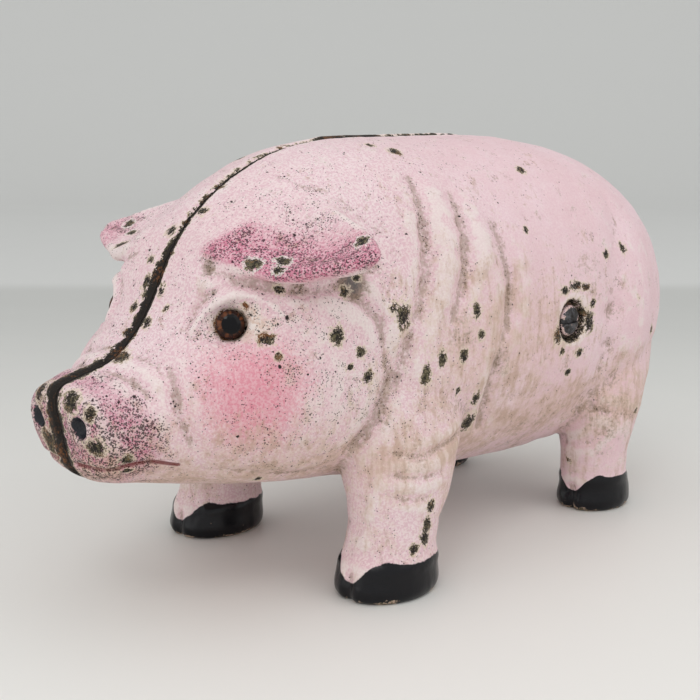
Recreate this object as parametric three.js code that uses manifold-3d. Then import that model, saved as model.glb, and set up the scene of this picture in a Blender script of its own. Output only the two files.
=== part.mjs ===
// A cast-iron piggy bank: two painted half shells that meet on the pig's middle plane and are drawn
// together by one long screw, with glass eyes on wire shanks.
//
// Millimetres, +Z up. The pig stands on Z = 0 and faces -X, so its left flank is on -Y.
// The origin is under the middle of the bank, in the plane where the two halves meet.

import * as THREE from "three";
import { LoftGeometry } from "three/addons/geometries/LoftGeometry.js";
import { mergeVertices } from "three/addons/utils/BufferGeometryUtils.js";
import Module from "manifold-3d";

const wasm = await Module();
wasm.setup();

// ---------------------------------------------------------------- driving dimensions

const LEFT = -1;
const RIGHT = 1;

const WALL = 4.2; // thickness of the cast shell
const SEAM_GAP = 0.4; // daylight between the two halves
const CLEARANCE = 0.3; // between any other two pieces that touch

const BODY_RINGS = 58; // cross-sections along the skin
const BODY_SIDES = 44; // points round each of them
const CAVITY_RINGS = 22;
const CAVITY_SIDES = 24;

const SLOT = { x: 17, length: 38, width: 5, depth: 16 };

const SCREW = { x: 38, z: 80.5, shank: 3, head: 5.6, headHeight: 3 };
const BORE = 3.4; // clearance bore for the screw
const POST = { radius: 7.5, foot: 13, footTop: 47 };
const HEAD_POCKET = { radius: 7.6, floor: 51.6 };
const WASHER = { radius: 6.9, thickness: 1.2 };
const NUT = { flats: 11, thickness: 5, bore: 3.3, pocketFloor: 49.6 };
const SCREW_END = 56; // distance of the shank's end from the middle plane

const EYE = { x: -99, y: 28.8, z: 92.4, radius: 4.4, dome: 2.3, back: 1.4 };
const EYE_LOOK = new THREE.Vector3(-0.5, 0.8, 0.24).normalize(); // right eye; the left one mirrors it
const SOCKET = { radius: 4.9, depth: 1.7, shankHole: 1 };
const EYE_WIRE = { radius: 0.5, length: 7, clinch: 5 };

const NOSTRIL = { x: -140.9, y: 10.8, z: 65.1, radius: 3.4 };

const PEG = { radius: 2, height: 3, lug: 4.6, lugDepth: 9 };
const PEG_PLACES = [
  { x: -52, z: 37 },
  { x: 134.5, z: 84 },
];

// ---------------------------------------------------------------- the outline of the pig

// Cross-sections from the snout to the rump. Each is held by three points: on the back line and on
// the belly line, both as [x, z], and at the widest part of the flank, as [x, half width, z].
const STATIONS = [
  { back: [-142, 71], flank: [-140.2, 12.5, 61.5], belly: [-138.2, 52] },
  { back: [-140.6, 75.5], flank: [-137.6, 19.5, 61.5], belly: [-134.6, 47.5] },
  { back: [-134, 78], flank: [-131, 22.5, 62], belly: [-128.5, 44.8] },
  { back: [-122, 81.5], flank: [-121, 25.5, 65], belly: [-120, 43] },
  { back: [-113, 89], flank: [-113, 31, 68], belly: [-110, 41] },
  { back: [-106.5, 98.5], flank: [-105, 37, 70], belly: [-100, 39] },
  { back: [-100.5, 110.5], flank: [-97, 41.5, 72], belly: [-90, 37] },
  { back: [-92.5, 121], flank: [-89, 45, 73], belly: [-80, 35.5] },
  { back: [-83, 129], flank: [-79, 47, 75], belly: [-70, 34] },
  { back: [-72, 135.5], flank: [-67, 48, 77], belly: [-58, 32] },
  { back: [-56, 142], flank: [-52, 49, 79], belly: [-45, 30] },
  { back: [-34, 145.5], flank: [-32, 52.5, 80], belly: [-28, 27] },
  { back: [-6, 146], flank: [-5, 55.5, 80.5], belly: [-4, 24] },
  { back: [28, 146.5], flank: [28, 56.5, 80.5], belly: [28, 21.5] },
  { back: [60, 145], flank: [60, 56.5, 81], belly: [58, 20.5] },
  { back: [90, 139.5], flank: [90, 54, 80], belly: [86, 26] },
  { back: [114, 128.5], flank: [113, 47, 79], belly: [109, 38.5] },
  { back: [130, 113], flank: [129, 35, 80], belly: [124, 54] },
  { back: [139, 98], flank: [138.5, 19, 83], belly: [136, 69] },
  { back: [141.6, 89], flank: [141.8, 6, 85], belly: [141, 81] },
];
const ROUNDNESS = 2.15; // of every cross-section: 2 is an ellipse, more is squarer

// Soft swellings and hollows of the skin: where, how far they reach and how high they stand.
const SWELLINGS = [
  { name: "cheek", at: [-90, 44, 66], reach: 20, height: 2.5 },
  { name: "jowl", at: [-72, 40, 48], reach: 20, height: 2.5 },
  { name: "brow", at: [-100, 26, 105], reach: 8, height: 1 },
  { name: "eye hollow", at: [-100, 31, 92], reach: 9, height: -6 },
  { name: "crease behind the cheek", at: [-52, 47, 70], reach: 10, height: -2 },
  { name: "shoulder", at: [-34, 50, 66], reach: 22, height: 2.5 },
  { name: "hollow behind the shoulder", at: [-2, 53, 55], reach: 14, height: -2 },
  { name: "haunch", at: [88, 46, 66], reach: 26, height: 2.5 },
];

// Each ear hangs from a front and a rear edge that run from the skull to its tip.
const EAR_FRONT = [
  [-100.5, 14, 114],
  [-98.5, 25, 109.6],
  [-94, 37, 106.6],
  [-89.5, 47, 107.6],
  [-84, 60, 110.6],
  [-78, 67.4, 113],
];
const EAR_REAR = [
  [-56, 14, 131],
  [-58.5, 27, 129.5],
  [-62.5, 39, 126],
  [-66, 49, 122],
  [-70, 60, 117.5],
  [-73.5, 67, 115],
];
const EAR = { rings: 12, sides: 18, rootThickness: 4.2, tipThickness: 3, camber: 4.5, squareness: 2.6 };
const EAR_ROUNDING = 0.8; // where along the ear its tip starts to round off

// Legs, as level sections from the sole upwards: height, centre, half length and half width.
const FRONT_LEG = [
  { z: 0, x: -47, y: 44, a: 17.6, b: 14.4 },
  { z: 2.5, x: -47, y: 44, a: 19.2, b: 15.8 },
  { z: 9, x: -46.5, y: 44, a: 18.2, b: 15.2 },
  { z: 15, x: -45.2, y: 44, a: 16.4, b: 14.2 },
  { z: 23, x: -43.4, y: 44, a: 16.4, b: 14 },
  { z: 31, x: -41, y: 43.5, a: 18.6, b: 15.4 },
  { z: 40, x: -38.8, y: 41.5, a: 21.5, b: 17.4 },
  { z: 52, x: -36, y: 37.5, a: 26, b: 19 },
  { z: 68, x: -33, y: 32, a: 30, b: 20 },
];
const REAR_LEG = [
  { z: 0, x: 78.6, y: 41.5, a: 15, b: 12.6 },
  { z: 2.5, x: 78.6, y: 41.5, a: 16.4, b: 13.8 },
  { z: 8, x: 79, y: 41.5, a: 15.6, b: 13.2 },
  { z: 13, x: 78, y: 41.5, a: 14.4, b: 12.4 },
  { z: 22, x: 78, y: 41.5, a: 14.6, b: 12.4 },
  { z: 30, x: 79.5, y: 41, a: 16.4, b: 13.8 },
  { z: 40, x: 82, y: 39.5, a: 20, b: 16 },
  { z: 52, x: 85, y: 37, a: 27, b: 17.5 },
  { z: 66, x: 87, y: 34, a: 33, b: 18 },
];
const LEG_SIDES = 24;

// The tail starts beside the seam and lies in a flat spiral on the rump of the right half.
const TAIL = { radius: 2.1, outer: 9.5, inner: 3.4, turns: 1.15, centre: [134.5, 13, 97], rise: 2.5 };

// ---------------------------------------------------------------- materials

function paint() {
  return new THREE.MeshStandardMaterial({ color: 0xe9c6cb, roughness: 0.55, metalness: 0 });
}

function amberGlass() {
  return new THREE.MeshStandardMaterial({ color: 0x3a1c0c, roughness: 0.08, metalness: 0 });
}

function wornSteel() {
  return new THREE.MeshStandardMaterial({ color: 0x3c3a38, roughness: 0.6, metalness: 0.85 });
}

// ---------------------------------------------------------------- solids, cuts and joins

/** A closed three.js geometry as a solid that can be cut and joined. */
function solid(geometry) {
  const bare = new THREE.BufferGeometry();
  bare.setAttribute("position", geometry.attributes.position);
  bare.setIndex(geometry.index);
  const merged = mergeVertices(bare, 1e-4);
  const vertProperties = new Float32Array(merged.attributes.position.array);
  const triVerts = new Uint32Array(merged.index.array);
  return new wasm.Manifold(new wasm.Mesh({ numProp: 3, vertProperties, triVerts }));
}

/** The three.js geometry of a solid. */
function geometryOf(body) {
  const { vertProperties, triVerts } = body.getMesh();
  const geometry = new THREE.BufferGeometry();
  geometry.setAttribute("position", new THREE.BufferAttribute(vertProperties, 3));
  geometry.setIndex(new THREE.BufferAttribute(triVerts, 1));
  geometry.computeVertexNormals();
  return geometry;
}

function part(name, geometry, material) {
  const mesh = new THREE.Mesh(geometry, material);
  mesh.name = name;
  return mesh;
}

/** A block between two corners. */
function block(low, high) {
  const size = high.map((value, i) => value - low[i]);
  const geometry = new THREE.BoxGeometry(...size);
  geometry.translate(...low.map((value, i) => value + size[i] / 2));
  return geometry;
}

/** A turned piece standing on the middle plane: its axis runs out to one side through (x, z). */
function turned(profile, x, z, side, sides = 32) {
  const outline = profile.map(([radius, along]) => new THREE.Vector2(radius, along));
  const geometry = new THREE.LatheGeometry(outline, sides);
  if (side === LEFT) geometry.rotateX(Math.PI);
  geometry.translate(x, 0, z);
  return geometry;
}

/** A plain rod of the turned kind, from one distance off the middle plane to another. */
function rod(radius, from, to, x, z, side, sides = 24) {
  const profile = [[0, from], [radius, from], [radius, to], [0, to]];
  return turned(profile, x, z, side, sides);
}

// ---------------------------------------------------------------- the skin

function curveThrough(points) {
  const vectors = points.map((point) => new THREE.Vector3(...point));
  return new THREE.CatmullRomCurve3(vectors, false, "centripetal");
}

const backLine = curveThrough(STATIONS.map(({ back: [x, z] }) => [x, 0, z]));
const flankLine = curveThrough(STATIONS.map(({ flank }) => flank));
const bellyLine = curveThrough(STATIONS.map(({ belly: [x, z] }) => [x, 0, z]));

/** The sine or cosine of a circle, turned into that of a squarer oval. */
function rounded(value, squareness) {
  return Math.sign(value) * Math.abs(value) ** (2 / squareness);
}

/** How far the skin is pushed out at a point by the swellings near it. */
function swelling(point) {
  let push = 0;
  for (const { at: [x, y, z], reach, height } of SWELLINGS) {
    const distance = Math.hypot(point.x - x, Math.abs(point.y) - y, point.z - z);
    push += height * Math.exp(-((distance / reach) ** 2));
  }
  return push;
}

/** A point of the smooth trunk: t runs from snout to rump, angle round from +Y over the back. */
function trunkPoint(t, angle) {
  const flank = flankLine.getPoint(t);
  const middle = new THREE.Vector3(flank.x, 0, flank.z);
  const line = Math.sin(angle) > 0 ? backLine : bellyLine;
  const rise = line.getPoint(t).sub(middle);
  const across = rounded(Math.cos(angle), ROUNDNESS);
  const up = Math.abs(rounded(Math.sin(angle), ROUNDNESS));
  return middle.addScaledVector(rise, up).add(new THREE.Vector3(0, across * flank.y, 0));
}

/** The outward direction of the trunk at the same place. */
function trunkNormal(t, angle) {
  const step = 0.004;
  const ahead = trunkPoint(Math.min(t + step, 1), angle).sub(trunkPoint(Math.max(t - step, 0), angle));
  const around = trunkPoint(t, angle + step * 5).sub(trunkPoint(t, angle - step * 5));
  return around.cross(ahead).normalize();
}

/** The trunk as a loft, its skin moved in by a wall thickness and cut short at both ends. */
function trunk(rings, sides, from, to, inset) {
  const sections = [];
  for (let i = 0; i <= rings; i += 1) {
    const t = THREE.MathUtils.lerp(from, to, i / rings);
    const section = [];
    for (let j = 0; j < sides; j += 1) {
      const angle = ((j + 0.5) / sides) * 2 * Math.PI;
      const point = trunkPoint(t, angle);
      section.push(point.addScaledVector(trunkNormal(t, angle), swelling(point) - inset));
    }
    sections.push(section);
  }
  return new LoftGeometry(sections, { capStart: true, capEnd: true });
}

// ---------------------------------------------------------------- ears, legs and tail

function ear(side) {
  const mirror = ([x, y, z]) => [x, y * side, z];
  const front = curveThrough(EAR_FRONT.map(mirror));
  const rear = curveThrough(EAR_REAR.map(mirror));
  const sections = [];
  for (let i = 0; i <= EAR.rings; i += 1) {
    const t = i / EAR.rings;
    const leading = front.getPoint(t);
    const trailing = rear.getPoint(t);
    const middle = leading.clone().lerp(trailing, 0.5);
    const chord = leading.clone().sub(trailing).multiplyScalar(0.5);
    const along = front.getTangent(t).lerp(rear.getTangent(t), 0.5);
    const outward = chord.clone().cross(along).multiplyScalar(side).normalize();
    const rounding = Math.max(0, (t - EAR_ROUNDING) / (1 - EAR_ROUNDING)) * 0.9;
    const fullness = Math.sqrt(1 - rounding ** 2);
    const thickness = THREE.MathUtils.lerp(EAR.rootThickness, EAR.tipThickness, t) * fullness;
    const camber = EAR.camber * Math.sin(Math.PI * t);
    const section = [];
    for (let j = 0; j < EAR.sides; j += 1) {
      const angle = (-side * j * 2 * Math.PI) / EAR.sides;
      const across = rounded(Math.cos(angle), EAR.squareness) * fullness;
      const lift = thickness * rounded(Math.sin(angle), EAR.squareness) + camber * (1 - across ** 2);
      section.push(middle.clone().addScaledVector(chord, across).addScaledVector(outward, lift));
    }
    sections.push(section);
  }
  return new LoftGeometry(sections, { capStart: true, capEnd: true });
}

function leg(levels, side) {
  const sections = levels.map(({ z, x, y, a, b }) => {
    const section = [];
    for (let j = 0; j < LEG_SIDES; j += 1) {
      const angle = (j / LEG_SIDES) * 2 * Math.PI;
      section.push(new THREE.Vector3(x + a * Math.cos(angle), side * y + b * Math.sin(angle), z));
    }
    return section;
  });
  return new LoftGeometry(sections, { capStart: true, capEnd: true });
}

function tail() {
  const [x, y, z] = TAIL.centre;
  const start = 0.83 * Math.PI;
  const count = 16;
  const points = [];
  for (let i = 0; i <= count; i += 1) {
    const t = i / count;
    const turn = start - t * TAIL.turns * 2 * Math.PI;
    const reach = THREE.MathUtils.lerp(TAIL.outer, TAIL.inner, t);
    points.push([x + TAIL.rise * t, y + reach * Math.cos(turn), z + reach * Math.sin(turn)]);
  }
  const round = new THREE.Shape().absarc(0, 0, TAIL.radius, 0, 2 * Math.PI);
  const options = { extrudePath: curveThrough(points), steps: 28, curveSegments: 5 };
  return new THREE.ExtrudeGeometry(round, options);
}

// ---------------------------------------------------------------- details of the castings

/** A turned piece at an eye: its axis looks out of the head, height 0 being the skin. */
function atEye(geometry, side) {
  const look = EYE_LOOK.clone().multiply(new THREE.Vector3(1, side, 1));
  const turn = new THREE.Quaternion().setFromUnitVectors(new THREE.Vector3(0, 1, 0), look);
  geometry.applyQuaternion(turn);
  geometry.translate(EYE.x, side * EYE.y, EYE.z);
  return geometry;
}

function eyeLathe(profile, side, sides = 24) {
  const outline = profile.map(([radius, height]) => new THREE.Vector2(radius, height));
  return atEye(new THREE.LatheGeometry(outline, sides), side);
}

function eyeSocket(side) {
  const { radius, depth, shankHole } = SOCKET;
  const through = -WALL * 2.5;
  const profile = [[0, through], [shankHole, through], [shankHole, -depth], [radius, -depth], [radius, 9], [0, 9]];
  return eyeLathe(profile, side);
}

function nostril(side) {
  const geometry = new THREE.SphereGeometry(NOSTRIL.radius, 16, 10);
  geometry.translate(NOSTRIL.x, side * NOSTRIL.y, NOSTRIL.z);
  return geometry;
}

/** The hollow post that the clamping screw runs through, spread out where it meets the flank. */
function post(side) {
  const start = SEAM_GAP / 2;
  const { radius, foot, footTop } = POST;
  const profile = [[0, start], [radius, start], [radius, footTop - 5], [foot, footTop], [foot, 54], [0, 54]];
  return turned(profile, SCREW.x, SCREW.z, side);
}

/** A lug inside the shell that carries a locating peg or its hole. */
function lug(place, side) {
  return rod(PEG.lug, SEAM_GAP / 2, PEG.lugDepth, place.x, place.z, side, 16);
}

function coinSlot() {
  const { x, length, width, depth } = SLOT;
  const top = 150;
  return block([x - length / 2, -width / 2, top - depth], [x + length / 2, width / 2, top]);
}

// ---------------------------------------------------------------- the two castings

/** The whole pig, hollow, before it is parted down the middle. */
function hollowPig() {
  let pig = solid(trunk(BODY_RINGS, BODY_SIDES, 0, 1, 0));
  const cavity = solid(trunk(CAVITY_RINGS, CAVITY_SIDES, 0.16, 0.95, WALL));
  for (const side of [LEFT, RIGHT]) {
    pig = pig.add(solid(ear(side)));
    pig = pig.add(solid(leg(FRONT_LEG, side)));
    pig = pig.add(solid(leg(REAR_LEG, side)));
  }
  pig = pig.add(solid(tail()));
  const shell = pig.subtract(cavity);
  let inside = null;
  for (const side of [LEFT, RIGHT]) {
    const pieces = [post(side), ...PEG_PLACES.map((place) => lug(place, side))];
    for (const piece of pieces) {
      inside = inside ? inside.add(solid(piece)) : solid(piece);
    }
  }
  return shell.add(inside.intersect(pig)).subtract(solid(coinSlot()));
}

const pig = hollowPig();

/** Everything of the pig on one side of the seam, with that side's face features cut. */
function half(side) {
  const near = SEAM_GAP / 2;
  const low = side === LEFT ? [-200, -100, -10] : [-200, near, -10];
  const high = side === LEFT ? [200, -near, 200] : [200, 100, 200];
  let casting = pig.intersect(solid(block(low, high)));
  casting = casting.subtract(solid(rod(BORE, -1, 70, SCREW.x, SCREW.z, side)));
  casting = casting.subtract(solid(eyeSocket(side)));
  return casting.subtract(solid(nostril(side)));
}

function leftHalf() {
  let casting = half(LEFT);
  const { radius, floor } = HEAD_POCKET;
  casting = casting.subtract(solid(rod(radius, floor, 70, SCREW.x, SCREW.z, LEFT)));
  for (const { x, z } of PEG_PLACES) {
    const peg = rod(PEG.radius, -PEG.height, PEG.lugDepth - 2, x, z, LEFT, 16);
    casting = casting.add(solid(peg));
  }
  return geometryOf(casting);
}

function rightHalf() {
  let casting = half(RIGHT);
  const reach = NUT.flats / 2 + CLEARANCE;
  const pocket = block(
    [SCREW.x - reach, NUT.pocketFloor, SCREW.z - reach],
    [SCREW.x + reach, 70, SCREW.z + reach],
  );
  casting = casting.subtract(solid(pocket));
  for (const { x, z } of PEG_PLACES) {
    const hole = rod(PEG.radius + CLEARANCE, -1, PEG.height + 1, x, z, RIGHT, 16);
    casting = casting.subtract(solid(hole));
  }
  return geometryOf(casting);
}

// ---------------------------------------------------------------- eyes

/** A domed glass button. */
function eye(side) {
  const profile = [[0, -EYE.back], [EYE.radius * 0.8, -EYE.back], [EYE.radius, -EYE.back * 0.4]];
  const steps = 7;
  for (let i = 0; i <= steps; i += 1) {
    const angle = (i / steps) * (Math.PI / 2);
    profile.push([EYE.radius * Math.cos(angle), EYE.dome * Math.sin(angle)]);
  }
  return eyeLathe(profile, side);
}

/** The eye's wire, put through the shell from outside and bent over within it. */
function eyeWire(side) {
  const start = -EYE.back - CLEARANCE;
  const points = [
    [0, start, 0],
    [0, start - EYE_WIRE.length * 0.6, 0],
    [0.6, start - EYE_WIRE.length, 0],
    [EYE_WIRE.clinch, start - EYE_WIRE.length - 0.6, 0],
  ];
  const round = new THREE.Shape().absarc(0, 0, EYE_WIRE.radius, 0, 2 * Math.PI);
  const options = { extrudePath: curveThrough(points), steps: 14, curveSegments: 4 };
  return atEye(new THREE.ExtrudeGeometry(round, options), side);
}

// ---------------------------------------------------------------- the clamping screw

const WASHER_BASE = HEAD_POCKET.floor + CLEARANCE;
const HEAD_BASE = WASHER_BASE + WASHER.thickness + CLEARANCE;

/** One long slotted screw; it enters at the left flank and ends just past the nut on the right. */
function clampScrew() {
  const { x, z, shank, head, headHeight } = SCREW;
  const tip = -SCREW_END;
  const profile = [[0, tip], [shank - 0.6, tip], [shank, tip + 1], [shank, HEAD_BASE], [head, HEAD_BASE]];
  const steps = 6;
  const rim = headHeight * 0.4;
  for (let i = 0; i <= steps; i += 1) {
    const angle = (i / steps) * (Math.PI / 2);
    const height = rim + (headHeight - rim) * Math.sin(angle);
    profile.push([head * Math.cos(angle), HEAD_BASE + height]);
  }
  const body = solid(turned(profile, x, z, LEFT));
  const top = -(HEAD_BASE + headHeight);
  const slot = block([x - 10, top - 1, z - 0.8], [x + 10, top + 1.5, z + 0.8]);
  return geometryOf(body.subtract(solid(slot)));
}

function screwWasher() {
  const { radius, thickness } = WASHER;
  const top = WASHER_BASE + thickness;
  const profile = [[BORE, WASHER_BASE], [radius, WASHER_BASE], [radius, top], [BORE, top], [BORE, WASHER_BASE]];
  return turned(profile, SCREW.x, SCREW.z, LEFT);
}

/** A square nut, held from turning by its pocket in the right flank. */
function clampNut() {
  const start = NUT.pocketFloor + CLEARANCE;
  const reach = NUT.flats / 2;
  const low = [SCREW.x - reach, start, SCREW.z - reach];
  const high = [SCREW.x + reach, start + NUT.thickness, SCREW.z + reach];
  const bore = rod(NUT.bore, start - 1, start + NUT.thickness + 1, SCREW.x, SCREW.z, RIGHT);
  return geometryOf(solid(block(low, high)).subtract(solid(bore)));
}

// ---------------------------------------------------------------- the bank

const group = new THREE.Group();
group.add(
  part("left_half", leftHalf(), paint()),
  part("right_half", rightHalf(), paint()),
  part("left_eye", eye(LEFT), amberGlass()),
  part("right_eye", eye(RIGHT), amberGlass()),
  part("left_eye_wire", eyeWire(LEFT), wornSteel()),
  part("right_eye_wire", eyeWire(RIGHT), wornSteel()),
  part("clamp_screw", clampScrew(), wornSteel()),
  part("screw_washer", screwWasher(), wornSteel()),
  part("clamp_nut", clampNut(), wornSteel()),
);

export default group;
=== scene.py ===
"""A worn, painted cast-iron piggy bank in two halves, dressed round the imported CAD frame.

Lengths here are millimetres unless a name says otherwise. In a casting's own arrays Y is measured
outward from the middle plane, so one description of a feature serves both halves.
"""
import math
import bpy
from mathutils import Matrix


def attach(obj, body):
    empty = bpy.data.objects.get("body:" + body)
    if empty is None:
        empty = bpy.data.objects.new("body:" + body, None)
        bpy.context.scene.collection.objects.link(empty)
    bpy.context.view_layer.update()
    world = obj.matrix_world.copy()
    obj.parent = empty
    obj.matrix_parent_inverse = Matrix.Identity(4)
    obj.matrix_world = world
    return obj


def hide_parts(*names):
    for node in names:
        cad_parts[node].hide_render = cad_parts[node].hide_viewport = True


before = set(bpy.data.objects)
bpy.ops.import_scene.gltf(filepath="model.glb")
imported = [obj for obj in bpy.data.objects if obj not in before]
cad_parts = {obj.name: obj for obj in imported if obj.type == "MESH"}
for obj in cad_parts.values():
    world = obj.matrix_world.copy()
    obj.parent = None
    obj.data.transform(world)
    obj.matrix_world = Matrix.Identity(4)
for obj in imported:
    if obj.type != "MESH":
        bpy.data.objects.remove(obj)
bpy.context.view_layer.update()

from types import SimpleNamespace

import bmesh
import bpy
import numpy as np
from mathutils import Vector
from mathutils.bvhtree import BVHTree

MM = 0.001

LEFT, RIGHT = -1, 1
VOXEL = 1.0  # of the fine castings
FACET_PASSES = 26  # of smoothing, to take out the CAD's facets and the voxels' steps
SKY_RAYS = 24  # cast from each CAD face to see how open it is
SKY_SHARE = 0.06  # a face on the outer skin sees more of the sky than this
SEAM_FACE = 0.2  # the halves' faces lie this far from the middle plane
EYE = (-99, 28.8, 92.4)
EYE_LOOK = (-0.5, 0.8, 0.24)
NOSTRIL = (-140.9, 10.8, 65.1)
NOSTRIL_RADIUS = 3.6


# ---------------------------------------------------------------- small tools

def value_noise(points, size, seed):
    """Smooth seeded noise from -1 to 1, with features about `size` across."""
    grid = points / size + seed * 17.31
    cell = np.floor(grid).astype(np.int64)
    part = grid - cell
    part = part * part * (3 - 2 * part)
    total = np.zeros(len(points))
    for corner in range(8):
        step = np.array([corner & 1, corner >> 1 & 1, corner >> 2])
        key = (cell + step) @ np.array([73856093, 19349663, 83492791]) + seed * 1013
        key = (key ^ (key >> 13)) * 1274126177 & 0x7FFFFFFF
        key = (key ^ (key >> 15)) * 2246822519 & 0x7FFFFFFF
        weight = np.where(step == 1, part, 1 - part).prod(1)
        total += weight * (key / 0x7FFFFFFF)
    return total * 2 - 1


def smooth_step(value, low, high):
    t = np.clip((value - low) / (high - low), 0, 1)
    return t * t * (3 - 2 * t)


def between(value, start, full, fading, end):
    """1 from full to fading, 0 before start and after end, and smooth on the way."""
    return smooth_step(value, start, full) * (1 - smooth_step(value, fading, end))


def bell(distance, width):
    return np.exp(-((distance / width) ** 2))


def tapered(along):
    """1 at the middle of a line, and 0 at both its ends."""
    return np.sin(np.pi * np.clip(along, 0, 1)) ** 0.5


def column(items, key, width=3):
    """One attribute of many mesh elements, as an array with `width` numbers in a row."""
    flat = np.empty(len(items) * width, np.float32)
    items.foreach_get(key, flat)
    return flat.reshape(-1, width).astype(float)


def put_points(mesh, points):
    mesh.vertices.foreach_set("co", (points * MM).astype(np.float32).ravel())
    mesh.update()


def shade_smooth(mesh):
    mesh.polygons.foreach_set("use_smooth", [True] * len(mesh.polygons))


def add_attribute(mesh, name, values):
    attribute = mesh.attributes.new(name, "FLOAT", "POINT")
    attribute.data.foreach_set("value", np.asarray(values, np.float32))


def add_object(name, data):
    thing = bpy.data.objects.new(name, data)
    bpy.context.scene.collection.objects.link(thing)
    return thing


def evaluated_mesh(thing):
    """A mesh with the object's modifiers applied; the object itself is removed."""
    view = bpy.context.evaluated_depsgraph_get()
    mesh = bpy.data.meshes.new_from_object(thing.evaluated_get(view), depsgraph=view)
    bpy.data.objects.remove(thing)
    return mesh


def curve_points(points, step=2.0):
    """A Catmull-Rom curve through a few points, sampled about every `step`."""
    points = np.array(points, float)
    ends = np.vstack([2 * points[0] - points[1], points, 2 * points[-1] - points[-2]])
    out = []
    for i in range(len(points) - 1):
        a, b, c, d = ends[i : i + 4]
        count = max(2, int(np.linalg.norm(c - b) / step))
        for t in np.arange(count) / count:
            out.append(
                b + 0.5 * t * (c - a)
                + t * t * (a - 2.5 * b + 2 * c - 0.5 * d)
                + t**3 * 0.5 * (d - a + 3 * (b - c))
            )
    out.append(points[-1])
    return np.array(out)


# ---------------------------------------------------------------- the castings as arrays

def cad_tree(side, *nodes):
    """A ray tree of CAD nodes in millimetres, with Y outward on the given side."""
    points, faces = [], []
    for name in nodes:
        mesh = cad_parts[name].data
        base = len(points)
        flip = np.array([1, side, 1])
        points += [Vector(np.array(v.co) / MM * flip) for v in mesh.vertices]
        faces += [[base + k for k in face.vertices] for face in mesh.polygons]
    return BVHTree.FromPolygons(points, faces)


def ray_fan(count):
    """Directions over a hemisphere round +Z, closer together near its pole."""
    share = (np.arange(count) + 0.5) / count
    turn = np.arange(count) * math.pi * (3 - math.sqrt(5))
    radius = np.sqrt(share)
    return np.stack([radius * np.cos(turn), radius * np.sin(turn), np.sqrt(1 - share)], 1)


def face_openness(node, both):
    """For each face of a CAD node, the share of the sky that it sees past both halves."""
    fan = ray_fan(SKY_RAYS)
    result = []
    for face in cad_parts[node].data.polygons:
        normal = face.normal
        start = face.center / MM + normal * 0.05
        turn = normal.to_track_quat("Z", "Y").to_matrix()
        seen = sum(both.ray_cast(start, turn @ Vector(d), 500)[0] is None for d in fan)
        result.append(seen / len(fan))
    return np.array(result)


def voxel_mesh(node, name):
    """A CAD node's shape as an even quad mesh."""
    rough = add_object(name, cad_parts[node].data.copy())
    remesh = rough.modifiers.new("voxels", "REMESH")
    remesh.mode = "VOXEL"
    remesh.voxel_size = VOXEL * MM
    mesh = evaluated_mesh(rough)
    mesh.name = name
    return mesh


class Casting:
    """A half's mesh held as arrays while it is sculpted."""

    def __init__(self, mesh, side, tree):
        self.mesh, self.side, self.tree = mesh, side, tree
        self.read()

    def read(self):
        count = len(self.mesh.vertices)
        self.points = column(self.mesh.vertices, "co") / MM
        self.points[:, 1] *= self.side
        pairs = np.empty(len(self.mesh.edges) * 2, np.int32)
        self.mesh.edges.foreach_get("vertices", pairs)
        pairs = pairs.reshape(-1, 2)
        self.one = np.concatenate([pairs[:, 0], pairs[:, 1]])
        self.other = np.concatenate([pairs[:, 1], pairs[:, 0]])
        self.degree = np.maximum(np.bincount(self.one, minlength=count), 1)
        self.find_normals()

    def write(self):
        put_points(self.mesh, self.points * [1, self.side, 1])

    def find_normals(self):
        self.normals = column(self.mesh.vertex_normals, "vector") * [1, self.side, 1]

    def average(self, values):
        """The mean of each vertex's neighbours."""
        count = len(self.degree)
        if values.ndim == 1:
            return np.bincount(self.one, values[self.other], count) / self.degree
        return np.stack([self.average(row) for row in values.T], 1)

    def blur(self, values, passes):
        for _ in range(passes):
            values = 0.5 * values + 0.5 * self.average(values)
        return values

    def relax(self, passes, cap):
        """Smooths out facets and voxel steps, moving no vertex further than the cap or its own cap."""
        start = self.points.copy()
        on_seam = start[:, 1] < SEAM_FACE + 0.45 * VOXEL
        for _ in range(passes):
            for weight in (0.6, -0.61):
                self.points += weight * (self.average(self.points) - self.points)
                self.points[on_seam, 1] = SEAM_FACE
        move = self.points - start
        length = np.linalg.norm(move, axis=1)
        move *= np.minimum(1, cap / np.maximum(length, 1e-9))[:, None]
        self.points = start + move
        self.points[on_seam, 1] = SEAM_FACE
        self.write()
        self.find_normals()

    def label(self, openness):
        """Which vertices are on the outer skin, and how open to the sky each is."""
        face = [self.tree.find_nearest(Vector(p))[2] for p in self.points]
        seen = openness[np.array(face)]
        self.open = self.blur(seen, 6)
        self.outside = self.blur((seen > SKY_SHARE).astype(float), 3)

    def distance(self, point):
        return np.linalg.norm(self.points - np.array(point), axis=1)

    def on_skin(self, point):
        return np.array(self.tree.find_nearest(Vector(point))[0])

    def path(self, points):
        """A curve through a few points, laid on the skin."""
        return np.array([self.on_skin(p) for p in curve_points(points)])

    def along(self, path, reach):
        """Vertices near a path: their indices, signed distance across it and place along it."""
        low, high = path.min(0) - reach, path.max(0) + reach
        near = ((self.points > low) & (self.points < high)).all(1) & (self.outside > 0.5)
        near = np.flatnonzero(near)
        start, step = path[:-1], np.diff(path, axis=0)
        from_start = self.points[near][:, None] - start
        place = (from_start * step).sum(-1) / np.maximum((step**2).sum(-1), 1e-9)
        place = np.clip(place, 0, 1)
        gap = from_start - place[..., None] * step
        distance = np.linalg.norm(gap, axis=-1)
        best = distance.argmin(1)
        row = np.arange(len(near))
        across = np.cross(step[best], self.normals[near])
        sign = np.where((across * gap[row, best]).sum(1) > 0, 1, -1)
        along = (best + place[row, best]) / len(step)
        return near, sign * distance[row, best], along


# ---------------------------------------------------------------- sculpting

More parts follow.
